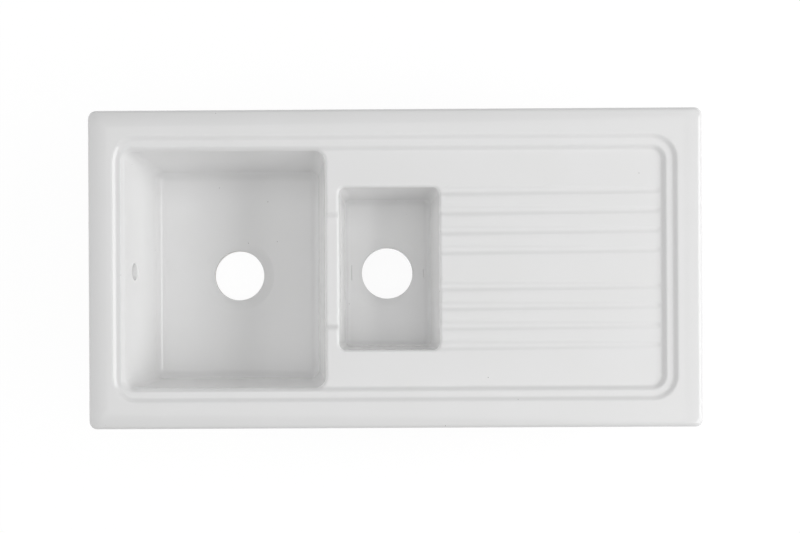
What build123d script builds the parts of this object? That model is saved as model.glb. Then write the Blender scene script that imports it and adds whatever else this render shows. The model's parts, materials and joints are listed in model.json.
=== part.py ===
from build123d import *
import os

os.makedirs("parts", exist_ok=True)

# A one-piece glazed fireclay sink with a main bowl, a half bowl and a grooved drainer, which
# drops into a cut-out in a worktop, and the seal and clamps that hold it there.
# Millimetres. z = 0 is the worktop's surface and the origin is the middle of the rim's outline.
# +X runs to the drainer end, +Y to the back and +Z up.

# ------------------------------------------------------------------ rim, shelf and deck
outer_length = 1010
outer_width = 525
outer_corner_r = 12
rim_height = 20          # from the flange's underside to the top of the rim
rim_edge_r = 9           # the rolled outer edge
rim_foot_r = 2           # the flange's lower outer edge
rim_end_width = 42       # outline to the middle of the first step, at both ends
rim_side_width = 47.5    # the same, at the front and the back
shelf_drop = 5           # first step, from the rim down to the shelf
shelf_corner_r = 38
step_run = 7             # how far a step's slope runs in plan
shelf_step_r = 10        # the rounding at the head and the foot of the first step
shelf_side_width = 17    # middle of the first step to the middle of the second, front and back
shelf_end_width = 20     # the same, at the drainer's end
shelf_bowl_width = 11    # the same, at the main bowl's end
deck_drop = 6            # second step, from the shelf down to the drainer's deck
deck_step_r = 8
deck_corner_r = 21

# ------------------------------------------------------------------ the bowls
wall = 12                # ceramic thickness of walls, floors and deck
divider_width = 22
lip_r = 6
main_lip_gap = 2         # middle of the second step to the main bowl's mouth, on three sides
main_length = 338.5
main_depth = 173         # deck to floor
main_end_draft = 19      # how far each end wall leans in over the depth
main_side_draft = 10
main_corner_r = 18
main_floor_r = 15
half_length = 166.5
half_width = 268.6
half_depth = 123
half_draft = 5
half_corner_r = 11
half_floor_r = 9
outside_r = 24           # rounding of the bowls' outer corners and lower edges

# ------------------------------------------------------------------ the lowered crest between the bowls
weir_length = 185
weir_depth = 7
weir_run = 9             # plan length of each sloping end
weir_r = 7

# ------------------------------------------------------------------ wastes and overflow
waste_hole_d = 90
waste_recess_depth = 5
waste_recess_run = 19    # plan width of the sloping seat for the waste's flange
waste_edge_r = 1.5       # the hole's upper edge
waste_pad_width = 26     # flat pad round the hole on the underside
overflow_d = 28
overflow_drop = 61       # rim top to the overflow's axis
overflow_lip_r = 2
overflow_pad_d = 52
overflow_pad_proud = 4

# ------------------------------------------------------------------ drainer grooves
grooves_per_side = 4     # a front and a back group, with a flat strip between them
groove_first_y = 30      # middle of the drainer to the nearest groove of each group
groove_pitch = 32.5
groove_r = 12            # the round section
groove_bowl_depth = 3    # at the half bowl, where a groove is deepest and widest
groove_end_depth = 1.2   # at the scooped end
groove_end_gap = 6       # middle of the second step to the scooped end of a groove

# ------------------------------------------------------------------ underside
flange_width = 22.5      # the ring that bears on the seal
skirt_depth = 10         # how far the locating skirt stands below the flange
skirt_width = 27
skirt_corner_r = 14
drainer_rib_count = 3
drainer_rib_width = 14
tap_hole_d = 35
tap_skin = 5             # glazed skin left over each half-punched tap hole
web_depth = 62           # the solid web that joins the two bowls under the deck

# ------------------------------------------------------------------ seal
seal_thickness = 2
seal_width = 12
seal_inset = 5           # from the rim's outline to the seal

# ------------------------------------------------------------------ clamps
clamps_per_side = 4
clamp_end_inset = 125    # outline's end to the first and the last clamp
clamp_edge_inset = 37.5  # outline's front or back to the screw's axis
worktop_max = 40         # thickest worktop that the clamps grip
worktop_min = 28
swing_gap = 1            # tooth to the thickest worktop when the clamp is slack
plug_d = 9
plug_length = 16
plug_collar_d = 14
plug_collar_thickness = 1.5
plug_slit_width = 1.2
plug_slit_length = 9
plug_hole_end_gap = 2
press_gap = 0.02         # radial, plug in its hole
screw_d = 5
screw_point = 1.5
screw_engagement = 5     # in the plug when the clamp is slack
head_d = 10
head_height = 4
socket_width = 4
socket_depth = 2.2
running_gap = 0.06       # radial, round the screw
axial_gap = 0.35         # between the screw's head, the washer and the claw
washer_d = 15
washer_thickness = 1.2
claw_length = 36         # screw's axis to the tip
claw_width = 18
claw_thickness = 3
claw_tip_width = 13
tooth_height = 4
tooth_thickness = 3
sleeve_d = 12
sleeve_height = 13
bead_width = 4           # stiffening bead along the claw
bead_height = 1.5

over = 1                 # how far a cutting shape runs past what it cuts

# ------------------------------------------------------------------ levels and lines that follow
flange_z = seal_thickness
rim_z = flange_z + rim_height
shelf_z = rim_z - shelf_drop
deck_z = shelf_z - deck_drop
skirt_z = flange_z - skirt_depth
main_floor_z = deck_z - main_depth
half_floor_z = deck_z - half_depth

step_x = outer_length / 2 - rim_end_width
step_y = outer_width / 2 - rim_side_width
line_y = step_y - shelf_side_width
deck_right_x = step_x - shelf_end_width
deck_left_x = shelf_bowl_width - step_x
main_left_x = deck_left_x + main_lip_gap
main_right_x = main_left_x + main_length
main_y = line_y - main_lip_gap
half_left_x = main_right_x + divider_width
half_right_x = half_left_x + half_length
half_y = half_width / 2
divider_x = (main_right_x + half_left_x) / 2
main_waste_x = (main_left_x + main_right_x) / 2 + 4
half_waste_x = (half_left_x + half_right_x) / 2 - 2
recess_r = waste_hole_d / 2 + waste_recess_run
tap_x = (half_left_x + half_right_x) / 2
tap_y = (half_y + line_y) / 2
clamp_travel = worktop_max + swing_gap - worktop_min
skirt_x = outer_length / 2 - flange_width
skirt_y = outer_width / 2 - flange_width


def slab(x0, x1, y0, y1, z0, z1, corner_r=0):
    """An upright slab between the given limits, with rounded upright corners."""
    outline = Rectangle(x1 - x0, y1 - y0)
    if corner_r:
        outline = RectangleRounded(x1 - x0, y1 - y0, corner_r)
    return Pos((x0 + x1) / 2, (y0 + y1) / 2, z0) * extrude(outline, amount=z1 - z0)


def drafted_block(x0, x1, half_y, z_top, z_bottom, end_draft, side_draft):
    """A block whose flat sides lean in from the top outline down to the bottom."""
    middle = (x0 + x1) / 2
    mouth = Pos(middle, 0, z_top) * Rectangle(x1 - x0, 2 * half_y)
    foot_length = x1 - x0 - 2 * end_draft
    foot = Pos(middle, 0, z_bottom) * Rectangle(foot_length, 2 * (half_y - side_draft))
    return loft([foot, mouth], ruled=True)


def leaning_edges(shape, z_low, z_high):
    """The edges that climb from the lower level to the upper one or past it."""
    def climbs(edge):
        box = edge.bounding_box()
        return box.min.Z <= z_low + over and box.max.Z >= z_high - over
    return shape.edges().filter_by(climbs)


def level_edges(shape, z):
    """The edges that lie at one level."""
    def lies(edge):
        box = edge.bounding_box()
        return abs(box.min.Z - z) < 0.01 and abs(box.max.Z - z) < 0.01
    return shape.edges().filter_by(lies)


def edges_near(shape, z, inside):
    """The edges at one level whose middles fall inside the given x and y limits."""
    x0, x1, y0, y1 = inside

    def falls(edge):
        middle = edge @ 0.5
        return x0 <= middle.X <= x1 and y0 <= middle.Y <= y1
    return level_edges(shape, z).filter_by(falls)


def basin(x0, x1, half_y, z_mouth, z_floor, end_draft, side_draft, corner_r, floor_r):
    """The space inside a bowl, from just above its mouth down to its rounded floor."""
    depth = z_mouth - z_floor
    end_over = over * end_draft / depth
    side_over = over * side_draft / depth
    space = drafted_block(x0 - end_over, x1 + end_over, half_y + side_over, z_mouth + over,
                          z_floor, end_draft + end_over, side_draft + side_over)
    space = fillet(leaning_edges(space, z_floor, z_mouth), corner_r)
    return fillet(level_edges(space, z_floor), floor_r)


def bowl_outside(x0, x1, half_y, z_mouth, z_floor, end_draft, side_draft):
    """The outer form of a bowl, one wall thickness outside its space."""
    form = drafted_block(x0 - wall, x1 + wall, half_y + wall, z_mouth,
                         z_floor - wall, end_draft, side_draft)
    form = fillet(leaning_edges(form, z_floor - wall, z_mouth), outside_r)
    return fillet(level_edges(form, z_floor - wall), outside_r * 0.8)


def stepped_space(x0, x1, y1, z_foot, z_head, corner_r):
    """The space over a shelf: its side slopes in by the step's run from head to foot."""
    half = step_run / 2
    grow = half + over * step_run / (z_head - z_foot)
    middle = (x0 + x1) / 2
    foot = RectangleRounded(x1 - x0 - 2 * half, 2 * (y1 - half), corner_r - half)
    head = RectangleRounded(x1 - x0 + 2 * grow, 2 * (y1 + grow), corner_r + grow)
    return loft([Pos(middle, 0, z_foot) * foot, Pos(middle, 0, z_head + over) * head], ruled=True)


def cut_step(body, x0, x1, y1, z_foot, z_head, corner_r, edge_r):
    """The body with one stepped space cut from it and the step's head and foot rounded."""
    body = body - stepped_space(x0, x1, y1, z_foot, z_head, corner_r)
    reach = step_run / 2 + over
    limits = (x0 - reach, x1 + reach, -y1 - reach, y1 + reach)
    body = fillet(edges_near(body, z_head, limits), edge_r)
    return fillet(edges_near(body, z_foot, limits), edge_r)


def weir_space():
    """The space over the lowered middle of the divider, with sloping ends."""
    low = (weir_length - weir_run) / 2
    high = (weir_length + weir_run) / 2 + over * weir_run / weir_depth
    z_low = deck_z - weir_depth
    z_high = deck_z + over
    outline = Polygon((-high, z_high), (-low, z_low), (low, z_low), (high, z_high), align=None)
    reach = divider_width / 2 + half_draft
    return Pos(divider_x, 0, 0) * extrude(Plane.YZ * outline, amount=reach, both=True)


def weir_bends(body):
    """The edges that cross the divider at the head and the foot of the weir's slopes."""
    def crosses(edge):
        box = edge.bounding_box()
        middle = edge @ 0.5
        level = box.max.Z - box.min.Z < 0.01 and box.max.Y - box.min.Y < 0.01
        near = abs(middle.X - divider_x) < divider_width / 4
        return level and near and abs(abs(middle.Y) - weir_length / 2) < weir_run
    return body.edges().filter_by(crosses)


def overflow_edge(body):
    """The edge where the overflow hole opens into the main bowl."""
    x, z = overflow_axis()

    def belongs(edge):
        box = edge.bounding_box()
        level = abs(box.center().Z - z) < over and abs(box.center().Y) < over
        round_hole = abs(box.max.Z - box.min.Z - overflow_d) < over
        return level and round_hole and abs(box.center().X - x) < wall / 2
    return body.edges().filter_by(belongs)


def lip_edges(body, x0, x1, y1):
    """The edges round one bowl's mouth, over its step, its deck and its side of the weir."""
    slack = 0.05
    low = deck_z - weir_depth - slack
    high = shelf_z - over

    def belongs(edge):
        box = edge.bounding_box()
        middle = edge @ 0.5
        level = box.min.Z > low and box.max.Z < high
        inside = x0 - slack < middle.X < x1 + slack and abs(middle.Y) < y1 + slack
        across = box.max.X - box.min.X > lip_r and abs(middle.X - divider_x) < lip_r
        return level and inside and not across
    return body.edges().filter_by(belongs)


def waste_cut(x, floor_z):
    """The sloping seat and the hole for one waste."""
    seat_z = floor_z - waste_recess_depth
    pad_z = seat_z - wall
    hole_r = waste_hole_d / 2
    grow = over * waste_recess_run / waste_recess_depth
    profile = Polyline((0, pad_z - over), (hole_r, pad_z - over), (hole_r, seat_z),
                       (recess_r + grow, floor_z + over), (0, floor_z + over), close=True)
    turned = revolve(Plane.XZ * make_face(profile), Axis.Z)
    return Pos(x, 0, 0) * turned


def groove_space(y):
    """One drain groove: a round channel that falls from its scooped end to the half bowl."""
    end_half = (2 * groove_r * groove_end_depth - groove_end_depth ** 2) ** 0.5
    low = Vector(half_right_x - half_draft - lip_r, y, deck_z - groove_bowl_depth + groove_r)
    high = Vector(deck_right_x - groove_end_gap - end_half, y,
                  deck_z - groove_end_depth + groove_r)
    channel = Cylinder(groove_r, (high - low).length,
                       align=(Align.CENTER, Align.CENTER, Align.MIN))
    return Plane(low, z_dir=high - low) * channel + Pos(high) * Sphere(groove_r)


def clamp_places():
    """The screw axes as (x, y, turn): every other side of the sink, from left to right."""
    first_x = clamp_end_inset - outer_length / 2
    pitch = -2 * first_x / (clamps_per_side - 1)
    y = outer_width / 2 - clamp_edge_inset
    back = [(first_x + i * pitch, y, 0) for i in range(clamps_per_side)]
    front = [(first_x + i * pitch, -y, 180) for i in range(clamps_per_side)]
    return back + front


def plug_hole(x, y):
    """A blind hole up into the skirt for one plug, and for the screw's point past it."""
    point_reach = screw_engagement - plug_collar_thickness + clamp_travel
    depth = max(plug_length, point_reach) + plug_hole_end_gap
    hole = Cylinder(plug_d / 2 + press_gap, depth + over,
                    align=(Align.CENTER, Align.CENTER, Align.MIN))
    return Pos(x, y, skirt_z - over) * hole


def tap_blank(y):
    """A tap hole that stops short of the deck, to be knocked through when it is wanted."""
    top_z = deck_z - tap_skin
    hole = Cylinder(tap_hole_d / 2, top_z - deck_z + wall + over,
                    align=(Align.CENTER, Align.CENTER, Align.MAX))
    return Pos(tap_x, y, top_z) * hole


def drainer_ribs():
    """The ribs across the underside of the drainer, between the two long skirts."""
    start_x = half_right_x + wall
    pitch = (skirt_x - skirt_width - start_x) / (drainer_rib_count + 1)
    reach = skirt_y - skirt_width / 2
    low_z = (skirt_z + deck_z - wall) / 2
    ribs = []
    for i in range(drainer_rib_count):
        x = start_x + (i + 1) * pitch
        edge = drainer_rib_width / 2
        ribs.append(slab(x - edge, x + edge, -reach, reach, low_z, deck_z - wall + over))
    return ribs


def divider_web():
    """The solid ceramic that fills the gap between the two bowls under the deck."""
    lean = main_end_draft * web_depth / main_depth
    low_z = deck_z - web_depth
    return slab(main_right_x - lean, half_left_x + half_draft, wall - half_y, half_y - wall,
                low_z, deck_z - weir_depth - wall / 2)


def overflow_axis():
    """The axis of the overflow hole at the inner face of the main bowl's left wall."""
    z = rim_z - overflow_drop
    lean = main_end_draft * (shelf_z - z) / (shelf_z - main_floor_z)
    return main_left_x + lean, z


def build_sink_body():
    """The ceramic body: rim, shelf, deck, both bowls and everything on the underside."""
    rim_x = outer_length / 2
    rim_y = outer_width / 2
    rim = slab(-rim_x, rim_x, -rim_y, rim_y, flange_z, rim_z, outer_corner_r)
    rim = fillet(level_edges(rim, rim_z), rim_edge_r)
    rim = fillet(level_edges(rim, flange_z), rim_foot_r)
    skirt = slab(-skirt_x, skirt_x, -skirt_y, skirt_y, skirt_z, flange_z + over, skirt_corner_r)
    pan_x = skirt_x - skirt_width
    pan_y = skirt_y - skirt_width
    pan = slab(-pan_x, pan_x, -pan_y, pan_y, skirt_z - over, deck_z - wall, skirt_corner_r)
    body = rim + skirt - pan
    body = body + bowl_outside(main_left_x, main_right_x, main_y, deck_z, main_floor_z,
                               main_end_draft, main_side_draft)
    body = body + bowl_outside(half_left_x, half_right_x, half_y, deck_z, half_floor_z,
                               half_draft, half_draft)
    body = body + divider_web()
    for rib in drainer_ribs():
        body = body + rib
    pad_r = waste_hole_d / 2 + waste_pad_width
    for x, floor_z in ((main_waste_x, main_floor_z), (half_waste_x, half_floor_z)):
        pad = Cylinder(pad_r, waste_recess_depth + wall,
                       align=(Align.CENTER, Align.CENTER, Align.MAX))
        body = body + Pos(x, 0, floor_z) * pad
    hole_x, hole_z = overflow_axis()
    pad_depth = wall + overflow_pad_proud
    pad = Cylinder(overflow_pad_d / 2, pad_depth, rotation=(0, 90, 0),
                   align=(Align.CENTER, Align.CENTER, Align.MAX))
    body = body + Pos(hole_x, 0, hole_z) * pad

    body = cut_step(body, -step_x, step_x, step_y, shelf_z, rim_z,
                    shelf_corner_r, shelf_step_r)
    body = cut_step(body, deck_left_x, deck_right_x, line_y, deck_z, shelf_z,
                    deck_corner_r, deck_step_r)
    body = body - basin(main_left_x, main_right_x, main_y, shelf_z, main_floor_z,
                        main_end_draft, main_side_draft, main_corner_r, main_floor_r)
    body = body - basin(half_left_x, half_right_x, half_y, deck_z, half_floor_z,
                        half_draft, half_draft, half_corner_r, half_floor_r)
    body = body - weir_space()
    body = fillet(weir_bends(body), weir_r)
    body = fillet(lip_edges(body, half_left_x, half_right_x, half_y), lip_r)
    body = fillet(lip_edges(body, main_left_x, main_right_x, main_y), lip_r)

    body = body - waste_cut(main_waste_x, main_floor_z) - waste_cut(half_waste_x, half_floor_z)
    for floor_z in (main_floor_z, half_floor_z):
        body = fillet(level_edges(body, floor_z - waste_recess_depth), waste_edge_r)
    bore = Cylinder(overflow_d / 2, 4 * pad_depth, rotation=(0, 90, 0))
    body = body - Pos(hole_x, 0, hole_z) * bore
    body = fillet(overflow_edge(body), overflow_lip_r)
    for i in range(grooves_per_side):
        y = groove_first_y + i * groove_pitch
        body = body - groove_space(y) - groove_space(-y)
    for x, y, _ in clamp_places():
        body = body - plug_hole(x, y)
    return body - tap_blank(tap_y) - tap_blank(-tap_y)


def build_seal():
    """A flat closed ring of foam between the flange and the worktop."""
    x = outer_length / 2 - seal_inset
    y = outer_width / 2 - seal_inset
    outer = RectangleRounded(2 * x, 2 * y, outer_corner_r)
    inner = RectangleRounded(2 * (x - seal_width), 2 * (y - seal_width), outer_corner_r / 2)
    return extrude(outer - inner, amount=seal_thickness)


# ------------------------------------------------------------------ clamp levels, all slack
plug_foot_z = skirt_z - plug_collar_thickness
tooth_z = -worktop_max - swing_gap
claw_top_z = tooth_z - tooth_height
claw_foot_z = claw_top_z - claw_thickness
washer_top_z = claw_foot_z - axial_gap
head_top_z = washer_top_z - washer_thickness - axial_gap
screw_length = plug_foot_z + screw_engagement - head_top_z
clear_r = screw_d / 2 + running_gap


def upright(r, height, z, top=False):
    """A round upright solid on the axis, standing on the level z or hanging from it."""
    end = Align.MAX if top else Align.MIN
    return Pos(0, 0, z) * Cylinder(r, height, align=(Align.CENTER, Align.CENTER, end))


def build_plug():
    """A collared nylon plug with a through bore and a cross slit that lets its head spread."""
    collar = upright(plug_collar_d / 2, plug_collar_thickness, skirt_z, top=True)
    plug = upright(plug_d / 2, plug_length, skirt_z) + collar
    plug = plug - upright(clear_r, plug_length + plug_collar_thickness + 2 * over,
                          plug_foot_z - over)
    slit_z = skirt_z + plug_length - plug_slit_length / 2
    for turn in (0, 90):
        slit = Box(plug_d + over, plug_slit_width, plug_slit_length + over)
        plug = plug - Pos(0, 0, slit_z + over / 2) * Rot(0, 0, turn) * slit
    return plug


def build_screw():
    """A long screw with a domed head, a hexagon socket and a blunt point."""
    shank = upright(screw_d / 2, screw_length, head_top_z)
    shank = chamfer(shank.edges().sort_by(Axis.Z)[-1], screw_point, screw_point)
    head = upright(head_d / 2, head_height, head_top_z, top=True)
    head = fillet(head.edges().sort_by(Axis.Z)[0], head_height / 2)
    socket = extrude(RegularPolygon(socket_width / 2, 6, major_radius=False),
                     amount=socket_depth + over)
    return shank + head - Pos(0, 0, head_top_z - head_height - over) * socket


def build_washer():
    """A plain round washer between the screw's head and the claw."""
    disc = upright(washer_d / 2, washer_thickness, washer_top_z, top=True)
    return disc - upright(clear_r, washer_thickness + 2 * over, washer_top_z + over, top=True)


def build_claw():
    """The claw: a guide sleeve round the screw, and an arm whose tip has an upturned tooth."""
    end_r = claw_width / 2
    tip_half = claw_tip_width / 2
    arm = make_face(Polyline((0, -end_r), (claw_length / 2, -end_r), (claw_length, -tip_half),
                             (claw_length, tip_half), (claw_length / 2, end_r), (0, end_r),
                             close=True))
    claw = Pos(0, 0, claw_foot_z) * extrude(arm + Circle(end_r), amount=claw_thickness)
    tooth_x = claw_length - tooth_thickness
    claw = claw + slab(tooth_x, claw_length, -tip_half, tip_half, claw_foot_z, tooth_z)
    bead_half = bead_width / 2
    claw = claw + slab(0, tooth_x, -bead_half, bead_half, claw_foot_z, claw_top_z + bead_height)
    claw = claw + upright(sleeve_d / 2, sleeve_height + claw_thickness, claw_foot_z)
    bore = upright(clear_r, sleeve_height + claw_thickness + 2 * over, claw_foot_z - over)
    return claw - bore


def place(piece, x, y, turn):
    return Pos(x, y, 0) * Rot(0, 0, turn) * piece


def write(name, piece):
    export_step(piece, f"parts/{name}.step")


write("sink_body", build_sink_body())
write("rim_seal", build_seal())
clamp_pieces = {
    "plug": build_plug(),
    "screw": build_screw(),
    "washer": build_washer(),
    "claw": build_claw(),
}
for number, (x, y, turn) in enumerate(clamp_places(), 1):
    for kind, piece in clamp_pieces.items():
        write(f"clip_{number}_{kind}", place(piece, x, y, turn))
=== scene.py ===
import json
from dataclasses import dataclass
from math import atan, atan2, ceil, cos, hypot, pi, radians, sin, tan

import bmesh
import bpy
from mathutils import Matrix, Vector


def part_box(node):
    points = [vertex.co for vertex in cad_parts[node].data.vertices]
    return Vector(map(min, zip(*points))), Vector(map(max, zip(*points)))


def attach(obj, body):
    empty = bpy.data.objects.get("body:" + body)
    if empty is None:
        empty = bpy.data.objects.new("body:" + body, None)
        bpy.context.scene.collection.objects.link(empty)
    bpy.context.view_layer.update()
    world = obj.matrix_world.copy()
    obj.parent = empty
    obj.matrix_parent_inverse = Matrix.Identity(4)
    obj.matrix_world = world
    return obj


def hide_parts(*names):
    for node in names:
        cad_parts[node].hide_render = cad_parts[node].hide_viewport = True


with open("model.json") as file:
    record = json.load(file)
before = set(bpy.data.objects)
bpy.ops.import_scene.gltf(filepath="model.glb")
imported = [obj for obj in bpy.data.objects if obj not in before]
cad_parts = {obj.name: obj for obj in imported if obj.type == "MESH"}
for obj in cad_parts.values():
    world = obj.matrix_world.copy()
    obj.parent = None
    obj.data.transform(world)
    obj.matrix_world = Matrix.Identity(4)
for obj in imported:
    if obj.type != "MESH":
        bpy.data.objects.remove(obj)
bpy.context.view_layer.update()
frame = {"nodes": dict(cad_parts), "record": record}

# A glazed fireclay sink with a main bowl, a half bowl and a grooved drainer, with the foam seal
# and the eight clamps that hold it in a worktop. Metres; +X is the drainer's end, +Y the back.

MM = 0.001
SAME = 1e-6                  # points closer than this are one place
X_AXIS, Z_AXIS = 0, 2
CLIPS = range(1, 9)
MOUNTS = {mount["name"]: mount for mount in frame["record"]["mounts"]}


@dataclass(frozen=True)
class Plan:
    """A rounded rectangle seen from above."""
    x: float
    y: float
    half_x: float
    half_y: float
    corner: float

    def outside(self, x, y):
        """How far a point lies outside the outline; negative inside it."""
        past_x = abs(x - self.x) - self.half_x + self.corner
        past_y = abs(y - self.y) - self.half_y + self.corner
        return hypot(max(past_x, 0), max(past_y, 0)) + min(max(past_x, past_y), 0) - self.corner


def plan_between(x0, x1, half_y, corner):
    """An outline between two ends, even about the sink's long middle line."""
    return Plan((x0 + x1) / 2, 0, (x1 - x0) / 2, half_y, corner)


# ------------------------------------------------------------------ rim, shelf and deck
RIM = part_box("sink_body")[1]
SEAL_LOW, SEAL_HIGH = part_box("rim_seal")
FLANGE_Z = SEAL_HIGH.z
OUTLINE_R = 12 * MM
ROLL_R = 9 * MM              # the rolled outer edge
FOOT_R = 2 * MM              # the flange's lower edge
CROWN = 9 * MM               # how far the crowned top would fall by its left outline
CROWN_FLATTER = 0.72         # how much less it falls at the drainer's end
CROWN_RUN = 34 * MM
CROWN_END = 6 * MM           # how far in its slope is read, for the rolled edge to take over
SOFT_CORNER = 26 * MM        # the crown follows a rounder outline, so the corners droop more
TOP_STRIP = 33 * MM          # the rim's rings start this far inside the outline
UNDER_STRIP = 30 * MM        # the skirt's rings start this far inside it
FLANGE_BAND = (12 * MM, 20 * MM)    # the flat under the flange that is filled in last
SHELF_DROP = 5 * MM
DECK_DROP = 6 * MM
DECK_Z = RIM.z - SHELF_DROP - DECK_DROP
STEP_RUN = 8.5 * MM          # width of each step's slope
STEP_SOFT = 0.25             # how much of it each rounding takes
STEP_1 = plan_between(-460 * MM, 459 * MM, 215 * MM, 38 * MM)
STEP_2 = plan_between(-446.5 * MM, 442 * MM, 198 * MM, 21 * MM)

# ------------------------------------------------------------------ grooves in the drainer
GROOVE_LINES = [(30 + 32.5 * i) * MM for i in range(4)]
GROOVE_START = 74 * MM
GROOVE_END = 432 * MM
GROOVE_R = 10.5 * MM
GROOVE_BOWL_DEPTH = 3 * MM
GROOVE_END_DEPTH = 1.2 * MM
GROOVE_MOUTH = 8 * MM        # how gently the grooves open into the half bowl
GROOVE_EDGE = 0.3 * MM       # how softly the glaze rounds a groove's edges

# ------------------------------------------------------------------ lowered crest between bowls
DIVIDER_X = -103.8 * MM
WEIR_Y = -3.5 * MM
WEIR_HALF = 92.5 * MM
WEIR_DEPTH = 7 * MM
WEIR_RUN = 11 * MM

# ------------------------------------------------------------------ underside
SKIRT_Z = FLANGE_Z - 10 * MM
SKIRT_INSET = 22.5 * MM
SKIRT_CORNER = 14 * MM
SKIRT_CORNER_RUN = 6 * MM    # how far out the skirt's corners reach their full rounding
PAN_Z = DECK_Z - 12 * MM
PAN = plan_between(-455.5 * MM, 455.5 * MM, 213 * MM, 14 * MM)
PAN_RUN = 3 * MM
RIB_LINES = [(89 + 91.625 * (i + 1)) * MM for i in range(3)]
RIB_HALF = 7 * MM
RIB_DROP = 3.5 * MM
WEB_Z = DECK_Z - 62 * MM
WEB_HALF = 122 * MM
WEB_RUN = 8 * MM


@dataclass(frozen=True)
class Bowl:
    """One skin of a bowl: its mouth, how each wall leans in by the floor, and its roundings."""
    left: float
    right: float
    half_y: float
    lean_left: float
    lean_right: float
    lean_y: float
    corner: float
    lip: float               # rounding at the mouth
    gap: float               # from the lip's start out to the square gap in the sheet
    floor_z: float
    floor_r: float
    slope: float             # the floor's fall to the waste
    waste: str

    def plan(self, out, z):
        """The outline at a level, moved out from the wall by a distance."""
        share = (DECK_Z - z) / (DECK_Z - self.floor_z)
        corner = self.corner + (out if out > 0 else 0.75 * out)
        return plan_between(self.left + self.lean_left * share - out,
                            self.right - self.lean_right * share + out,
                            self.half_y - self.lean_y * share + out, corner)

    def gap_plan(self):
        return self.plan(self.lip + self.gap, DECK_Z)

    def waste_axis(self):
        return Vector(MOUNTS[self.waste]["pos_m"][:2])


FLOOR_FALL = 0.008
MAIN = Bowl(left=-445 * MM, right=-114.8 * MM, half_y=195.5 * MM,
            lean_left=21 * MM, lean_right=17.5 * MM, lean_y=10 * MM, corner=17 * MM,
            lip=5 * MM, gap=4 * MM, floor_z=-162 * MM, floor_r=15.5 * MM,
            slope=FLOOR_FALL, waste="main_waste")
HALF = Bowl(left=-92.8 * MM, right=73.8 * MM, half_y=134.3 * MM,
            lean_left=11 * MM, lean_right=7 * MM, lean_y=6 * MM, corner=11 * MM,
            lip=4.5 * MM, gap=4.5 * MM, floor_z=-112 * MM, floor_r=11 * MM,
            slope=FLOOR_FALL, waste="half_waste")
MAIN_BACK = Bowl(left=-462 * MM, right=-107 * MM, half_y=208 * MM,
                 lean_left=19 * MM, lean_right=11.5 * MM, lean_y=10 * MM, corner=24 * MM,
                 lip=3 * MM, gap=1 * MM, floor_z=-174 * MM, floor_r=18 * MM,
                 slope=0, waste="main_waste")
HALF_BACK = Bowl(left=-95 * MM, right=89 * MM, half_y=144.3 * MM,
                 lean_left=0, lean_right=5 * MM, lean_y=5 * MM, corner=22 * MM,
                 lip=1.5 * MM, gap=0.5 * MM, floor_z=-124 * MM, floor_r=14 * MM,
                 slope=0, waste="half_waste")
WASTE_R = MOUNTS["main_waste"]["dims"]["r_mm"] * MM
RECESS_R = WASTE_R + 19 * MM
RECESS_DROP = 3.5 * MM
RECESS_EDGE = 0.6 * MM       # how far the recess's rounded rim reaches past it
WALL = 12 * MM
PAD_R = 68 * MM
PAD_DROP = 5 * MM

# ------------------------------------------------------------------ overflow and tap holes
OVERFLOW_Z = MOUNTS["overflow"]["pos_m"][2]
OVERFLOW_R = MOUNTS["overflow"]["dims"]["r_mm"] * MM
OVERFLOW_PAD_R = 25 * MM
OVERFLOW_PAD_X = -460.06 * MM
OVERFLOW_PATCH = 22 * MM     # half the square of wall that a round feature takes up
OVERFLOW_PAD_PATCH = 29 * MM
TAP = MOUNTS["tap_blank_back"]
TAP_R = TAP["dims"]["r_mm"] * MM
TAP_DEPTH = TAP["dims"]["length_mm"] * MM
TAP_X, TAP_Y = TAP["pos_m"][:2]
PLUG_R = 4.52 * MM
PLUG_HOLE_DEPTH = 18.5 * MM
PLUG_PATCH_MM = 6.5
TAP_PATCH_MM = 19


def ease(t):
    """A soft S from 0 to 1."""
    t = min(max(t, 0), 1)
    return t * t * (3 - 2 * t)


def crown_at(x):
    """The crown's fall at a place along the sink, less towards the drainer's end."""
    return CROWN * (1 - CROWN_FLATTER * (x + RIM.x) / (2 * RIM.x))


def rim_droop(x, y):
    """How far the rim's top has fallen away towards its outline."""
    inset = -Plan(0, 0, RIM.x, RIM.y, SOFT_CORNER).outside(x, y)
    return crown_at(x) * max(1 - inset / CROWN_RUN, 0) ** 2


def step_share(step, x, y):
    """0 outside a step, 1 at its foot and beyond; a straight slope between two roundings."""
    t = min(max((STEP_RUN / 2 - step.outside(x, y)) / STEP_RUN, 0), 1)
    near = min(t, 1 - t)
    bend = near * near / (2 * STEP_SOFT) if near < STEP_SOFT else near - STEP_SOFT / 2
    return bend / (1 - STEP_SOFT) if t < 0.5 else 1 - bend / (1 - STEP_SOFT)


def groove_depth(x, y):
    """The drainer's eight grooves, which fall towards the half bowl and end in a scoop."""
    along = min(max((x - GROOVE_START) / (GROOVE_END - GROOVE_START), 0), 1)
    depth = GROOVE_BOWL_DEPTH + (GROOVE_END_DEPTH - GROOVE_BOWL_DEPTH) * along
    across = min(abs(abs(y) - line) for line in GROOVE_LINES)
    past = max(x - GROOVE_END, 0)
    cut = depth - (across ** 2 + past ** 2) / (2 * GROOVE_R)
    return (cut + hypot(cut, GROOVE_EDGE)) / 2 * ease((x - GROOVE_START) / GROOVE_MOUTH + 1)


def weir_drop(x, y):
    """The lowered crest on the divider, which lets a full half bowl spill into the main one."""
    if abs(x - DIVIDER_X) > 20 * MM:
        return 0
    return WEIR_DEPTH * ease((WEIR_HALF + WEIR_RUN / 2 - abs(y - WEIR_Y)) / WEIR_RUN)


def deck_height(x, y):
    return (RIM.z - rim_droop(x, y) - SHELF_DROP * step_share(STEP_1, x, y)
            - DECK_DROP * step_share(STEP_2, x, y) - groove_depth(x, y) - weir_drop(x, y))


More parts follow.
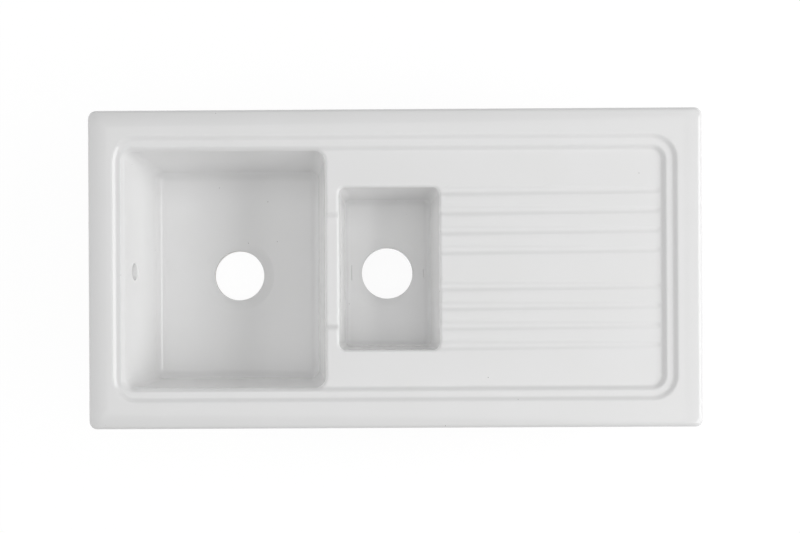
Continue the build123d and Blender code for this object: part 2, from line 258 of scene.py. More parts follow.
def under_height(x, y):
    """The underside: the skirt, the pan inside it, its ribs, and the web between the bowls."""
    pan = ease(0.5 - PAN.outside(x, y) / PAN_RUN)
    rib = max(ease((RIB_HALF + 1.5 * MM - abs(x - line)) / (3 * MM)) for line in RIB_LINES)
    z = SKIRT_Z + (PAN_Z - SKIRT_Z - RIB_DROP * rib) * pan
    if abs(x - DIVIDER_X) > 10 * MM:
        return z
    return z + (WEB_Z - z) * ease((WEB_HALF + WEB_RUN / 2 - abs(y)) / WEB_RUN)


# ------------------------------------------------------------------ rings and sheets
@dataclass
class Seat:
    """Where a vertex sits in its rings: its quadrant, its side, and how far along the side."""
    sign_x: int = 1
    sign_y: int = 1
    on_end: bool = False
    share: float = 0         # of the side's half length, up to the corner's stretch
    corner: float = 0        # 0 to 1 through the corner's stretch
    stretch: float = 0       # the corner's stretch as a share of the side's half length
    top: float = 0           # where its wall begins
    tilt: float = 0          # the crown's slope where the rolled edge takes over
    fall: float = 0          # how far the floor's edge stands above the waste's seat
    foot: Vector = None      # where the walls end, or where a round feature began
    bearing: float = 0       # its direction from a round feature's middle


def seat_at(co, plan, stretch):
    """The seat of a vertex of a square-cornered gap."""
    dx = co.x - plan.x
    dy = co.y - plan.y
    on_end = abs(abs(dx) - plan.half_x) < abs(abs(dy) - plan.half_y)
    run, full = (abs(dy), plan.half_y) if on_end else (abs(dx), plan.half_x)
    corner = max((run - full + stretch) / stretch, 0)
    return Seat(1 if dx > 0 else -1, 1 if dy > 0 else -1, on_end,
                min(run, full - stretch) / full, min(corner, 1), stretch / full)


def ring_point(seat, plan):
    """The same seat on another outline; corner stretches share out the arc evenly."""
    half_run, half_off = (plan.half_y, plan.half_x) if seat.on_end else (plan.half_x, plan.half_y)
    straight = half_run * seat.stretch - plan.corner
    path = seat.corner * (straight + plan.corner * pi / 4)
    run = seat.share * half_run + path
    off = half_off
    if plan.corner and path > straight:
        turn = (path - straight) / plan.corner
        run = half_run - plan.corner + plan.corner * sin(turn)
        off = half_off - plan.corner + plan.corner * cos(turn)
    x, y = (off, run) if seat.on_end else (run, off)
    return plan.x + seat.sign_x * x, plan.y + seat.sign_y * y


def bearing_from(middle, spot):
    away = spot - middle
    return atan2(away.y, away.x)


def next_ring(bm, ring, place):
    """Extrudes an open loop once; ring maps its vertices to seats, and place moves each seat."""
    edges = [e for v in ring for e in v.link_edges if e.is_boundary and e.other_vert(v) in ring]
    fresh = bmesh.ops.extrude_edge_only(bm, edges=list(dict.fromkeys(edges)))["geom"]
    grown = {}
    for vert in fresh:
        if isinstance(vert, bmesh.types.BMVert):
            neighbours = (edge.other_vert(vert) for edge in vert.link_edges)
            grown[vert] = ring[next(v for v in neighbours if v in ring)]
    for vert, seat in grown.items():
        vert.co = place(seat)
    return grown


def loop_edges(*rings):
    """The open edges of finished rings."""
    edges = [e for ring in rings for v in ring for e in v.link_edges
             if e.is_boundary and e.other_vert(v) in ring]
    return list(dict.fromkeys(edges))


def open_gap(bm, inside):
    """Takes out the faces whose middles pass the test and returns the vertices round the gap."""
    gone = {face: None for face in bm.faces if inside(face.calc_center_median())}
    kept = {v: None for face in gone for v in face.verts
            if any(other not in gone for other in v.link_faces)}
    bmesh.ops.delete(bm, geom=list(gone), context="FACES")
    return [v for v in kept if v.is_valid]


def lines(*stops):
    """Grid lines through (place, step) stops; the step holds until the next stop."""
    found = []
    for (start, step), (end, _) in zip(stops, stops[1:]):
        count = max(1, round((end - start) / step))
        found += [(start + (end - start) * i / count) * MM for i in range(count)]
    return found + [stops[-1][0] * MM]


def both_sides(half_lines):
    """The same lines on both sides of the middle."""
    return [-v for v in reversed(half_lines) if v > 0] + half_lines


def sheet(bm, xs, ys, height):
    """A sheet of quads on the given lines, lifted to a height."""
    made = bmesh.ops.create_grid(bm, x_segments=len(xs) - 1, y_segments=len(ys) - 1, size=0.5)
    for vert in made["verts"]:
        x = xs[round((vert.co.x + 0.5) * (len(xs) - 1))]
        y = ys[round((vert.co.y + 0.5) * (len(ys) - 1))]
        vert.co = (x, y, height(x, y))
    return made["verts"]


def rounded(corners, bend=radians(15)):
    """Points along an open outline of (offset, height, radius) corners, with arcs at the radii."""
    points = []
    for i, (a, z, r) in enumerate(corners):
        here = Vector((a, z))
        if not r:
            points.append(here)
            continue
        back = (Vector(corners[i - 1][:2]) - here).normalized()
        ahead = (Vector(corners[i + 1][:2]) - here).normalized()
        half = back.angle(ahead) / 2
        middle = here + (back + ahead).normalized() * r / sin(half)
        spoke = here + back * (r / tan(half)) - middle
        sweep = spoke.angle_signed(here + ahead * (r / tan(half)) - middle)
        count = max(2, ceil(abs(sweep) / bend))
        points += [middle + Matrix.Rotation(-sweep * k / count, 2) @ spoke
                   for k in range(count + 1)]
    return points


def square_gap(bm, plan, stretch):
    """Opens the gap of a plan in a sheet and seats the vertices round it."""
    verts = open_gap(bm, lambda co: abs(co.x - plan.x) < plan.half_x
                     and abs(co.y - plan.y) < plan.half_y)
    return {v: seat_at(v.co, plan, stretch) for v in verts}


QUARTER_STEPS = 8            # rings round a lip or a floor's rounding
GAP_STEPS = 4                # rings from the square gap to the lip


def sink_bowl(bm, bowl, height, stretch, rows):
    """One skin of a bowl, from its gap in a sheet over the lip, down the walls to its floor."""
    ring = square_gap(bm, bowl.gap_plan(), stretch)
    centre = bowl.waste_axis()
    for seat in ring.values():
        seat.foot = Vector(ring_point(seat, bowl.plan(-bowl.floor_r, bowl.floor_z)))
        seat.bearing = bearing_from(centre, seat.foot)
        seat.fall = bowl.slope * max((seat.foot - centre).length - RECESS_R, 0)

    for i in range(1, GAP_STEPS + 1):
        wide = bowl.plan(bowl.lip + bowl.gap * (1 - i / GAP_STEPS), DECK_Z)
        plan = Plan(wide.x, wide.y, wide.half_x, wide.half_y, wide.corner * i / GAP_STEPS)

        def on_sheet(seat):
            x, y = ring_point(seat, plan)
            return x, y, height(x, y)
        ring = next_ring(bm, ring, on_sheet)

    for out, dip in quarter_round(bowl.lip):
        def on_lip(seat):
            x, y = ring_point(seat, bowl.plan(out, DECK_Z))
            seat.top = height(x, y) - dip
            return *ring_point(seat, bowl.plan(out, seat.top)), seat.top
        ring = next_ring(bm, ring, on_lip)

    foot_z = bowl.floor_z + bowl.floor_r
    for i in range(1, rows + 1):
        def on_wall(seat):
            z = seat.top + (foot_z + seat.fall - seat.top) * i / rows
            return *ring_point(seat, bowl.plan(0, z)), z
        ring = next_ring(bm, ring, on_wall)

    for rise, inset in quarter_round(bowl.floor_r):
        def on_fillet(seat):
            z = bowl.floor_z + seat.fall + rise
            return *ring_point(seat, bowl.plan(-inset, z)), z
        ring = next_ring(bm, ring, on_fillet)
    return ring


def quarter_round(r):
    """(distance left, depth gone) round a quarter circle, without its start."""
    turns = [radians(90) * i / QUARTER_STEPS for i in range(1, QUARTER_STEPS + 1)]
    return [(r * (1 - sin(turn)), r * (1 - cos(turn))) for turn in turns]


def round_point(seat, centre, r):
    return centre + r * Vector((cos(seat.bearing), sin(seat.bearing)))


def floor_to_waste(bm, ring, bowl, profile, steps):
    """Draws the floor in from the foot of the walls to a circle, then on along the profile."""
    centre = bowl.waste_axis()
    reach, level = profile[0]
    for i in range(1, steps + 1):
        def on_floor(seat):
            start = Vector(ring_point(seat, bowl.plan(-bowl.floor_r, bowl.floor_z + seat.fall)))
            spot = start.lerp(round_point(seat, centre, reach), i / steps)
            return *spot, level + seat.fall * (1 - i / steps)
        ring = next_ring(bm, ring, on_floor)
    for r, z in profile[1:]:
        ring = next_ring(bm, ring, lambda seat: (*round_point(seat, centre, r), z))
    return ring


def wall_hole(bm, bowl, reach, rings):
    """A round feature in a bowl's left wall; rings are (radius, depth behind the wall, or x)."""
    middle = Vector((0, OVERFLOW_Z))

    def face_x(z):
        plan = bowl.plan(0, z)
        return plan.x - plan.half_x
    verts = open_gap(bm, lambda co: abs(co.x - face_x(co.z)) < MM and abs(co.y) < reach
                     and abs(co.z - OVERFLOW_Z) < reach)
    ring = {v: Seat(foot=v.co.yz, bearing=bearing_from(middle, v.co.yz)) for v in verts}

    def in_wall(seat, r, share, depth, x):
        y, z = seat.foot.lerp(round_point(seat, middle, r), share)
        return face_x(z) - depth if x is None else x, y, z
    for share in (0.4, 0.75):      # from the square patch to the first circle
        ring = next_ring(bm, ring, lambda seat: in_wall(seat, rings[0][0], share, 0, None))
    for r, depth, x in rings:
        ring = next_ring(bm, ring, lambda seat: in_wall(seat, r, 1, depth, x))


def blind_hole(bm, x, y, r, reach, depth):
    """A round hole up into the underside, from a square patch of its sheet."""
    middle = Vector((x, y))
    verts = open_gap(bm, lambda co: abs(co.x - x) < reach and abs(co.y - y) < reach)
    ring = {v: Seat(top=v.co.z, bearing=bearing_from(middle, v.co.xy)) for v in verts}
    profile = rounded([(r + MM, 0, 0), (r, 0, 0.6 * MM), (r, depth, 0.3 * r), (0.3 * r, depth, 0)])
    for wide, rise in profile:
        ring = next_ring(bm, ring, lambda seat: (*round_point(seat, middle, wide), seat.top + rise))
    bmesh.ops.holes_fill(bm, edges=loop_edges(ring), sides=0)


# ------------------------------------------------------------------ the ceramic body
TOP_HALF_X = RIM.x - TOP_STRIP
TOP_HALF_Y = RIM.y - TOP_STRIP
UNDER_HALF_X = RIM.x - UNDER_STRIP
UNDER_HALF_Y = RIM.y - UNDER_STRIP
CORNER_STRETCH = 20 * MM     # how much of a square corner's sides goes into its rounding
ROLL_STEPS = 7
GLAZE_ABOVE_FLANGE = 1.2 * MM
GLAZE_IN_WASTE = 9 * MM      # how far the glaze runs down the main waste's bore


def middle_of(node):
    low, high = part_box(node)
    return (low + high) / 2


def top_lines():
    """Lines along x and y: close together over steps, lips and grooves, wide apart on flats."""
    xs = lines((-472, 2.3), (-464, 1.7), (-454, 2.5), (-430, 12), (-128, 2.5), (-105.8, 1.4),
               (-101.8, 2.3), (-74, 10), (62, 2.3), (82.8, 12), (422, 1.6), (464, 2.3), (472, 0))
    half_ys = lines((0, 3.7), (22, 2), (38, 5.5), (54.5, 2), (70.5, 5.5), (87, 2), (103, 5.5),
                    (119.5, 2), (143.3, 6), (168, 3), (189, 2), (204.5, 3), (210.5, 1.7),
                    (219, 3.5), (229.5, 0))
    return xs, both_sides(half_ys)


def glazed_top(bm):
    """The rim, shelf and deck as one sheet, with both bowls sunk into it."""
    xs, ys = top_lines()
    sheet(bm, xs, ys, deck_height)
    for bowl, stretch, rows in ((MAIN, 30 * MM, 18), (HALF, 24 * MM, 11)):
        ring = sink_bowl(bm, bowl, deck_height, stretch, rows)
        seat_z = bowl.floor_z - RECESS_DROP
        pad_z = bowl.floor_z - WALL - PAD_DROP
        profile = rounded([(RECESS_R + RECESS_EDGE, bowl.floor_z, 0),
                           (RECESS_R, bowl.floor_z, 4 * MM), (WASTE_R, seat_z, 2 * MM),
                           (WASTE_R, pad_z, 1 * MM), (WASTE_R + 5 * MM, pad_z, 0)], radians(20))
        floor_to_waste(bm, ring, bowl, profile, steps=5)
    hole = rounded([(OVERFLOW_R + 2.5 * MM, 0, 0), (OVERFLOW_R, 0, 2 * MM),
                    (OVERFLOW_R, 5 * MM, 0)])
    wall_hole(bm, MAIN, OVERFLOW_PATCH,
              [(r, depth, None) for r, depth in hole] + [(OVERFLOW_R, 0, OVERFLOW_PAD_X)])


def rolled_rim(bm):
    """The rim's outer strip, its rolled edge, its side and the outer part of the flange."""
    start = Plan(0, 0, TOP_HALF_X, TOP_HALF_Y, 0)
    ring = {v: seat_at(v.co, start, CORNER_STRETCH) for v in bm.verts if v.is_boundary
            and (abs(abs(v.co.x) - TOP_HALF_X) < SAME or abs(abs(v.co.y) - TOP_HALF_Y) < SAME)}
    for seat in ring.values():
        x, _ = ring_point(seat, rim_plan(ROLL_R))
        seat.tilt = atan(crown_at(x) * 2 / CROWN_RUN * (1 - CROWN_END / CROWN_RUN))

    for inset in (30.5, 27.5, 24.5, 21.5, 18.5, 15.5, 12.5, 9.5, None):
        def on_crown(seat):
            here = ROLL_R * (1 - sin(seat.tilt)) if inset is None else inset * MM
            x, y = ring_point(seat, rim_plan(here))
            seat.top = deck_height(x, y)
            return x, y, seat.top
        ring = next_ring(bm, ring, on_crown)
    for i in range(1, ROLL_STEPS + 1):
        def on_roll(seat):
            turn = seat.tilt + (radians(90) - seat.tilt) * i / ROLL_STEPS
            drop = ROLL_R * (cos(seat.tilt) - cos(turn))
            return *ring_point(seat, rim_plan(ROLL_R * (1 - sin(turn)))), seat.top - drop
        ring = next_ring(bm, ring, on_roll)
    side = rounded([(0, RIM.z, 0), (0, FLANGE_Z, FOOT_R), (FLANGE_BAND[0], FLANGE_Z, 0)],
                   radians(20))
    for inset, level in side[1:]:
        plan = rim_plan(inset)
        ring = next_ring(bm, ring, lambda seat: (*ring_point(seat, plan), level))


def rim_plan(inset):
    """The outline at a distance inside the rim's edge; its corners sharpen inwards."""
    return Plan(0, 0, RIM.x - inset, RIM.y - inset, OUTLINE_R * (1 - inset / TOP_STRIP))


def under_lines():
    """Lines of the underside's sheet, through every edge that stands on it."""
    xs = [-475, -466, -458, -434, -103, -99, -73, 65, 93, 452, 455.5, 459, 475]
    xs += [middle_of(f"clip_{n}_plug").x / MM + side
           for n in CLIPS[:4] for side in (-PLUG_PATCH_MM, PLUG_PATCH_MM)]
    xs += [TAP_X / MM - TAP_PATCH_MM, TAP_X / MM + TAP_PATCH_MM]
    xs += [line / MM + side for line in RIB_LINES for side in (-9, -7, -5, 5, 7, 9)]
    half_ys = lines((0, 10), (30, 14.6), (118, 2), (126, 5), (146.3, 1), (147.15, 6.3),
                    (185.15, 5.4), (212, 1.3), (214.6, 3.9), (218.5, 3.25), (231.5, 1), (232.5, 0))
    return lines(*[(x, 11) for x in sorted(xs)]), both_sides(half_ys)


def bare_underside(bm):
    """The skirt, pan, ribs and the outsides of the bowls."""
    xs, ys = under_lines()
    verts = sheet(bm, xs, ys, under_height)
    edge = [v for v in verts if v.is_boundary]
    for n in CLIPS:
        middle = middle_of(f"clip_{n}_plug")
        blind_hole(bm, middle.x, middle.y, PLUG_R, PLUG_PATCH_MM * MM, PLUG_HOLE_DEPTH)
    for side in (-1, 1):
        blind_hole(bm, TAP_X, side * TAP_Y, TAP_R, TAP_PATCH_MM * MM, TAP_DEPTH)
    for bowl, stretch, rows in ((MAIN_BACK, 32 * MM, 16), (HALF_BACK, 26 * MM, 9)):
        ring = sink_bowl(bm, bowl, under_height, stretch, rows)
        pad_z = bowl.floor_z - PAD_DROP
        profile = rounded([(PAD_R + 3 * MM, bowl.floor_z, 0), (PAD_R, bowl.floor_z, 2.5 * MM),
                           (PAD_R, pad_z, 2 * MM), (WASTE_R + 12 * MM, pad_z, 0)])
        floor_to_waste(bm, ring, bowl, profile, steps=4)
    edge_r = 0.7 * MM
    wall_hole(bm, MAIN_BACK, OVERFLOW_PAD_PATCH, [
        (OVERFLOW_PAD_R + MM, 0, None), (OVERFLOW_PAD_R, 0.2 * MM, None),
        (OVERFLOW_PAD_R, 0, OVERFLOW_PAD_X + edge_r), (OVERFLOW_PAD_R - edge_r, 0, OVERFLOW_PAD_X),
        (OVERFLOW_R + 5 * MM, 0, OVERFLOW_PAD_X)])
    start = Plan(0, 0, UNDER_HALF_X, UNDER_HALF_Y, 0)
    ring = {v: seat_at(v.co, start, CORNER_STRETCH) for v in edge}
    profile = rounded([(28 * MM, SKIRT_Z, 0), (SKIRT_INSET, SKIRT_Z, 2 * MM),
                       (SKIRT_INSET, FLANGE_Z, 2 * MM), (FLANGE_BAND[1], FLANGE_Z, 0)])
    for inset, level in profile:
        corner = SKIRT_CORNER * min((UNDER_STRIP - inset) / SKIRT_CORNER_RUN, 1)
        plan = Plan(0, 0, RIM.x - inset, RIM.y - inset, corner)
        ring = next_ring(bm, ring, lambda seat: (*ring_point(seat, plan), level))


def close_plane(bm, axis, level):
    """Fills the flat band between the open loops in one plane, square to an axis."""
    edges = [e for e in bm.edges if e.is_boundary
             and all(abs(v.co[axis] - level) < 10 * SAME for v in e.verts)]
    bmesh.ops.triangle_fill(bm, use_beauty=True, edges=edges)


def join_shells(*makers):
    """One bmesh out of several, built one after another; also the count of the first's vertices."""
    bm = bmesh.new()
    first_count = 0
    for maker in makers:
        part = bmesh.new()
        maker(part)
        passing = bpy.data.meshes.new("passing")
        part.to_mesh(passing)
        part.free()
        first_count = first_count or len(passing.vertices)
        bm.from_mesh(passing)
        bpy.data.meshes.remove(passing)
    return bm, first_count


def top_shell(bm):
    glazed_top(bm)
    rolled_rim(bm)


def build_body():
    """The whole ceramic body as one closed shell."""
    bm, glazed_count = join_shells(top_shell, bare_underside)
    close_plane(bm, Z_AXIS, FLANGE_Z)
    close_plane(bm, Z_AXIS, MAIN.floor_z - WALL - PAD_DROP)
    close_plane(bm, Z_AXIS, HALF.floor_z - WALL - PAD_DROP)
    close_plane(bm, X_AXIS, OVERFLOW_PAD_X)
    bmesh.ops.recalc_face_normals(bm, faces=bm.faces)
    unglazed = bm.verts.layers.float.new("unglazed")
    bm.verts.ensure_lookup_table()
    for i, vert in enumerate(bm.verts):
        by_edge = abs(vert.co.x) > TOP_HALF_X or abs(vert.co.y) > TOP_HALF_Y
        in_flange = by_edge and vert.co.z < FLANGE_Z + GLAZE_ABOVE_FLANGE
        in_waste = vert.co.z < MAIN.floor_z - RECESS_DROP - GLAZE_IN_WASTE
        vert[unglazed] = 1 if i >= glazed_count or in_flange or in_waste else 0
    finish_piece(bm, "ceramic_body", "sink", glazed_fireclay(), "sink_body")


def finish_piece(bm, name, body, material, node):
    """A named, smooth piece from a finished bmesh, riding on a body and standing for a CAD node."""
    mesh = bpy.data.meshes.new(name)
    bm.to_mesh(mesh)
    bm.free()
    mesh.shade_smooth()
    mesh.materials.append(material)
    piece = bpy.data.objects.new(name, mesh)
    bpy.context.scene.collection.objects.link(piece)
    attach(piece, body)
    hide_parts(node)
    return piece


# ------------------------------------------------------------------ materials
def new_material(name):
    """A material, its node tree and its Principled shader."""
    material = bpy.data.materials.new(name)
    material.use_nodes = True
    tree = material.node_tree
    return material, tree, tree.nodes["Principled BSDF"]


def grain_group():
    """Fine random grain on Object coordinates, used by every material."""
    group = bpy.data.node_groups.get("fine_grain")
    if group:
        return group
    group = bpy.data.node_groups.new("fine_grain", "ShaderNodeTree")
    for name, value in (("Grain per metre", 100), ("Detail", 2)):
        socket = group.interface.new_socket(name, in_out="INPUT", socket_type="NodeSocketFloat")
        socket.default_value = value
    group.interface.new_socket("Grain", in_out="OUTPUT", socket_type="NodeSocketFloat")
    given = group.nodes.new("NodeGroupInput")
    out = group.nodes.new("NodeGroupOutput")
    place = group.nodes.new("ShaderNodeTexCoord")
    noise = group.nodes.new("ShaderNodeTexNoise")
    group.links.new(place.outputs["Object"], noise.inputs["Vector"])
    group.links.new(given.outputs["Grain per metre"], noise.inputs["Scale"])
    group.links.new(given.outputs["Detail"], noise.inputs["Detail"])
    group.links.new(noise.outputs["Fac"], out.inputs["Grain"])
    return group


def grain(tree, per_metre, detail=2.0):
    """The shared grain in a material, at its own size."""
    node = tree.nodes.new("ShaderNodeGroup")
    node.node_tree = grain_group()
    node.inputs["Grain per metre"].default_value = per_metre
    node.inputs["Detail"].default_value = detail
    return node.outputs["Grain"]


def ramp(tree, value, low, high, to_low=0.0, to_high=1.0):
    """Maps a value from one range to another, clamped."""
    node = tree.nodes.new("ShaderNodeMapRange")
    for name, number in (("From Min", low), ("From Max", high),
                         ("To Min", to_low), ("To Max", to_high)):
        node.inputs[name].default_value = number
    tree.links.new(value, node.inputs["Value"])
    return node.outputs["Result"]


def maths(tree, operation, a, b):
    node = tree.nodes.new("ShaderNodeMath")
    node.operation = operation
    for socket, value in zip(node.inputs, (a, b)):
        if isinstance(value, (int, float)):
            socket.default_value = value
        else:
            tree.links.new(value, socket)
    return node.outputs["Value"]


def mixed(tree, share, a, b):
    """A colour between two others, each a colour or another node's output."""
    node = tree.nodes.new("ShaderNodeMix")
    node.data_type = "RGBA"
    tree.links.new(share, node.inputs["Factor"])
    for name, value in (("A", a), ("B", b)):
        socket = next(s for s in node.inputs if s.name == name and s.type == "RGBA")
        if isinstance(value, tuple):
            socket.default_value = (*value, 1)
        else:
            tree.links.new(value, socket)
    return next(s for s in node.outputs if s.type == "RGBA")


def bumped(tree, height, strength, distance):
    node = tree.nodes.new("ShaderNodeBump")
    node.inputs["Strength"].default_value = strength
    node.inputs["Distance"].default_value = distance
    tree.links.new(height, node.inputs["Height"])
    return node.outputs["Normal"]


GLAZE = (0.955, 0.955, 0.955)
GLAZE_THIN = (0.945, 0.945, 0.942)
GLAZE_IOR = 1.56
SPECK = (0.10, 0.085, 0.07)
SPECK_CELLS = 420            # per metre
SPECK_CHANCE = 0.9997        # cells whose random number is above this hold a speck
BISCUIT = (0.80, 0.76, 0.69)
BISCUIT_DARK = (0.71, 0.66, 0.58)


def glazed_fireclay():
    """White gloss glaze with rare dark pinholes, ending at a ragged line over buff biscuit."""
    material, tree, shader = new_material("glazed_fireclay")
    edge = tree.nodes.new("ShaderNodeAttribute")
    edge.attribute_name = "unglazed"
    ragged = maths(tree, "MULTIPLY", grain(tree, 130, 3), 0.6)
    line = maths(tree, "ADD", edge.outputs["Fac"], ragged)
    bare = ramp(tree, line, 0.76, 0.84)

    cells = tree.nodes.new("ShaderNodeTexVoronoi")
    cells.inputs["Scale"].default_value = SPECK_CELLS
    place = tree.nodes.new("ShaderNodeTexCoord")
    tree.links.new(place.outputs["Object"], cells.inputs["Vector"])
    near = ramp(tree, cells.outputs["Distance"], 0.30, 0.16)
    parts = tree.nodes.new("ShaderNodeSeparateColor")
    tree.links.new(cells.outputs["Color"], parts.inputs["Color"])
    rare = maths(tree, "GREATER_THAN", parts.outputs["Red"], SPECK_CHANCE)
    speck = maths(tree, "MULTIPLY", near, rare)

    glaze = mixed(tree, ramp(tree, grain(tree, 9), 0.35, 0.65), GLAZE, GLAZE_THIN)
    glaze = mixed(tree, speck, glaze, SPECK)
    biscuit = mixed(tree, ramp(tree, grain(tree, 700, 4), 0.35, 0.7), BISCUIT, BISCUIT_DARK)
    tree.links.new(mixed(tree, bare, glaze, biscuit), shader.inputs["Base Color"])
    gloss = ramp(tree, grain(tree, 14), 0.3, 0.7, 0.05, 0.08)
    matt = maths(tree, "MULTIPLY", bare, 0.8)
    tree.links.new(maths(tree, "ADD", gloss, matt), shader.inputs["Roughness"])
    waves = maths(tree, "MULTIPLY", grain(tree, 26, 1), 0.12)
    grit = maths(tree, "MULTIPLY", maths(tree, "MULTIPLY", grain(tree, 1500, 3), bare), 0.5)
    tree.links.new(bumped(tree, maths(tree, "ADD", waves, grit), 0.5, 0.4 * MM),
                   shader.inputs["Normal"])
    shader.inputs["IOR"].default_value = GLAZE_IOR
    return material


def simple_finish(name, light, dark, per_metre, roughness, bump, metallic=0.0):
    """A grained finish between two tones."""
    material, tree, shader = new_material(name)
    texture = grain(tree, per_metre, 4)
    tone = mixed(tree, ramp(tree, texture, 0.3, 0.7), light, dark)
    tree.links.new(tone, shader.inputs["Base Color"])
    tree.links.new(ramp(tree, texture, 0.3, 0.7, *roughness), shader.inputs["Roughness"])
    tree.links.new(bumped(tree, texture, 0.4, bump), shader.inputs["Normal"])
    shader.inputs["Metallic"].default_value = metallic
    return material


def foam():
    return simple_finish("closed_cell_foam", (0.05, 0.05, 0.052), (0.02, 0.02, 0.021), 2500,
                         (0.8, 0.95), 0.25 * MM)


def nylon():
    return simple_finish("natural_nylon", (0.72, 0.71, 0.66), (0.66, 0.65, 0.60), 300,
                         (0.35, 0.5), 0.05 * MM)


def zinc(name, brightness, rough):
    light = tuple(brightness * tone for tone in (0.97, 0.99, 1.0))
    dark = tuple(0.82 * tone for tone in light)
    return simple_finish(name, light, dark, 900, (rough, rough + 0.14), 0.03 * MM, metallic=1.0)


# ------------------------------------------------------------------ seal and clamps
def build_seal():
    """The foam strip under the flange, with rounded edges."""
    bm = bmesh.new()
    outer = SEAL_HIGH.xy
    width = 12 * MM
    edge_r = 0.8 * MM
    start = Plan(0, 0, outer.x - width + edge_r, outer.y - width + edge_r, 0)
    xs = both_sides(lines((0, 30), (start.half_x / MM - 20, 2), (start.half_x / MM, 0)))
    ys = both_sides(lines((0, 30), (start.half_y / MM - 20, 2), (start.half_y / MM, 0)))
    verts = sheet(bm, xs, ys, lambda x, y: SEAL_HIGH.z)
    ring = {v: seat_at(v.co, start, CORNER_STRETCH) for v in verts if v.is_boundary}
    inside = list(bm.faces)
    section = rounded([(width - edge_r, SEAL_HIGH.z, 0), (0, SEAL_HIGH.z, edge_r),
                       (0, SEAL_LOW.z, edge_r), (width, SEAL_LOW.z, edge_r),
                       (width, SEAL_HIGH.z, edge_r), (width - edge_r, SEAL_HIGH.z, 0)], radians(30))

    def round_section(seat, inset, z):
        plan = Plan(0, 0, outer.x - inset, outer.y - inset, OUTLINE_R * (1 - inset / (2 * width)))
        return *ring_point(seat, plan), z
    for vert, seat in ring.items():
        vert.co = round_section(seat, *section[0])
    for inset, z in section[1:]:
        ring = next_ring(bm, ring, lambda seat: round_section(seat, inset, z))
    bmesh.ops.delete(bm, geom=inside, context="FACES")
    bmesh.ops.remove_doubles(bm, verts=bm.verts, dist=SAME)
    bmesh.ops.recalc_face_normals(bm, faces=bm.faces)
    return bm


SCREW_HEAD = 4 * MM          # height of the head
SCREW_NECK = 2 * MM          # plain shank over the head
SCREW_R = 2.5 * MM
SCREW_CORE_R = 2.05 * MM
SCREW_PITCH = 2 * MM
SCREW_POINT = 1.5 * MM       # chamfer of the blunt point
RIDGE_FOOT = 0.7 * MM        # half the thread's width where it leaves the core
RIDGE_TOP = 0.12 * MM        # half the width of its crest
RIDGE_SUNK = 0.2 * MM        # how deep its foot sits in the core
RIDGE_CLEAR = 0.9 * MM       # what it keeps from the neck and from the point's end
TURN_STEPS = 20


def merged_copy(node):
    """A bmesh of a CAD node with its loose triangles joined and its flats whole."""
    bm = bmesh.new()
    bm.from_mesh(frame["nodes"][node].data)
    bmesh.ops.remove_doubles(bm, verts=bm.verts, dist=SAME)
    bmesh.ops.dissolve_limit(bm, angle_limit=radians(0.5), verts=bm.verts, edges=bm.edges)
    return bm


def break_edges(bm, width):
    """Takes the sharpness off every corner of a stamped, turned or moulded part."""
    sharp = [e for e in bm.edges if e.is_manifold and e.calc_face_angle() > radians(35)]
    bmesh.ops.bevel(bm, geom=sharp, offset=width, segments=2, profile=0.5, affect="EDGES",
                    material=-1, clamp_overlap=True)
    bmesh.ops.recalc_face_normals(bm, faces=bm.faces)


def lathe(bm, centre, profile):
    """Turns a profile of (radius, height) once round an upright axis."""
    verts = [bm.verts.new((centre.x + r, centre.y, z)) for r, z in profile]
    edges = [bm.edges.new(pair) for pair in zip(verts, verts[1:])]
    bmesh.ops.spin(bm, geom=verts + edges, cent=(centre.x, centre.y, 0), axis=(0, 0, 1),
                   angle=2 * pi, steps=TURN_STEPS, use_merge=True)


def thread_ridge(bm, centre, start, end, tip):
    """The screw's right-handed ridge, wound round the core and cut down over its point."""
    profile = [(SCREW_CORE_R - RIDGE_SUNK, -RIDGE_FOOT), (SCREW_R, -RIDGE_TOP),
               (SCREW_R, RIDGE_TOP), (SCREW_CORE_R - RIDGE_SUNK, RIDGE_FOOT)]
    ring = [bm.verts.new((centre.x + r, centre.y, start + z)) for r, z in profile]
    edges = [bm.edges.new(pair) for pair in zip(ring, ring[1:] + ring[:1])]
    steps = round((end - start) / SCREW_PITCH * TURN_STEPS)
    made = bmesh.ops.spin(bm, geom=ring + edges, cent=(centre.x, centre.y, 0), axis=(0, 0, 1),
                          dvec=(0, 0, SCREW_PITCH / TURN_STEPS),
                          angle=2 * pi * steps / TURN_STEPS, steps=steps)
    last = [v for v in made["geom_last"] if isinstance(v, bmesh.types.BMVert)]
    for loop in (ring, last):
        bmesh.ops.contextual_create(bm, geom=loop)
    for vert in bm.verts:
        limit = SCREW_R - max(vert.co.z - (tip - SCREW_POINT), 0)
        away = vert.co.xy - centre.xy
        if vert.co.z > start - MM and away.length > limit:
            vert.co.xy = centre.xy + away * (limit / away.length)


def build_screw(n):
    """The domed socket head and neck, a core with a blunt point, and the thread round it."""
    node = f"clip_{n}_screw"
    low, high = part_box(node)
    centre = middle_of(node)
    bm = merged_copy(node)
    neck_z = low.z + SCREW_HEAD + SCREW_NECK
    bmesh.ops.bisect_plane(bm, geom=[*bm.verts, *bm.edges, *bm.faces], plane_co=(0, 0, neck_z),
                           plane_no=(0, 0, 1), clear_outer=True)
    bmesh.ops.holes_fill(bm, edges=[e for e in bm.edges if e.is_boundary], sides=0)
    break_edges(bm, 0.2 * MM)
    lathe(bm, centre, [(0, neck_z - MM), (SCREW_CORE_R, neck_z - MM),
                       (SCREW_CORE_R, high.z - SCREW_POINT), (SCREW_R - SCREW_POINT, high.z),
                       (0, high.z)])
    thread_ridge(bm, centre, neck_z + RIDGE_CLEAR, high.z - RIDGE_CLEAR, high.z)
    bmesh.ops.remove_doubles(bm, verts=bm.verts, dist=SAME)
    bmesh.ops.recalc_face_normals(bm, faces=bm.faces)
    return bm


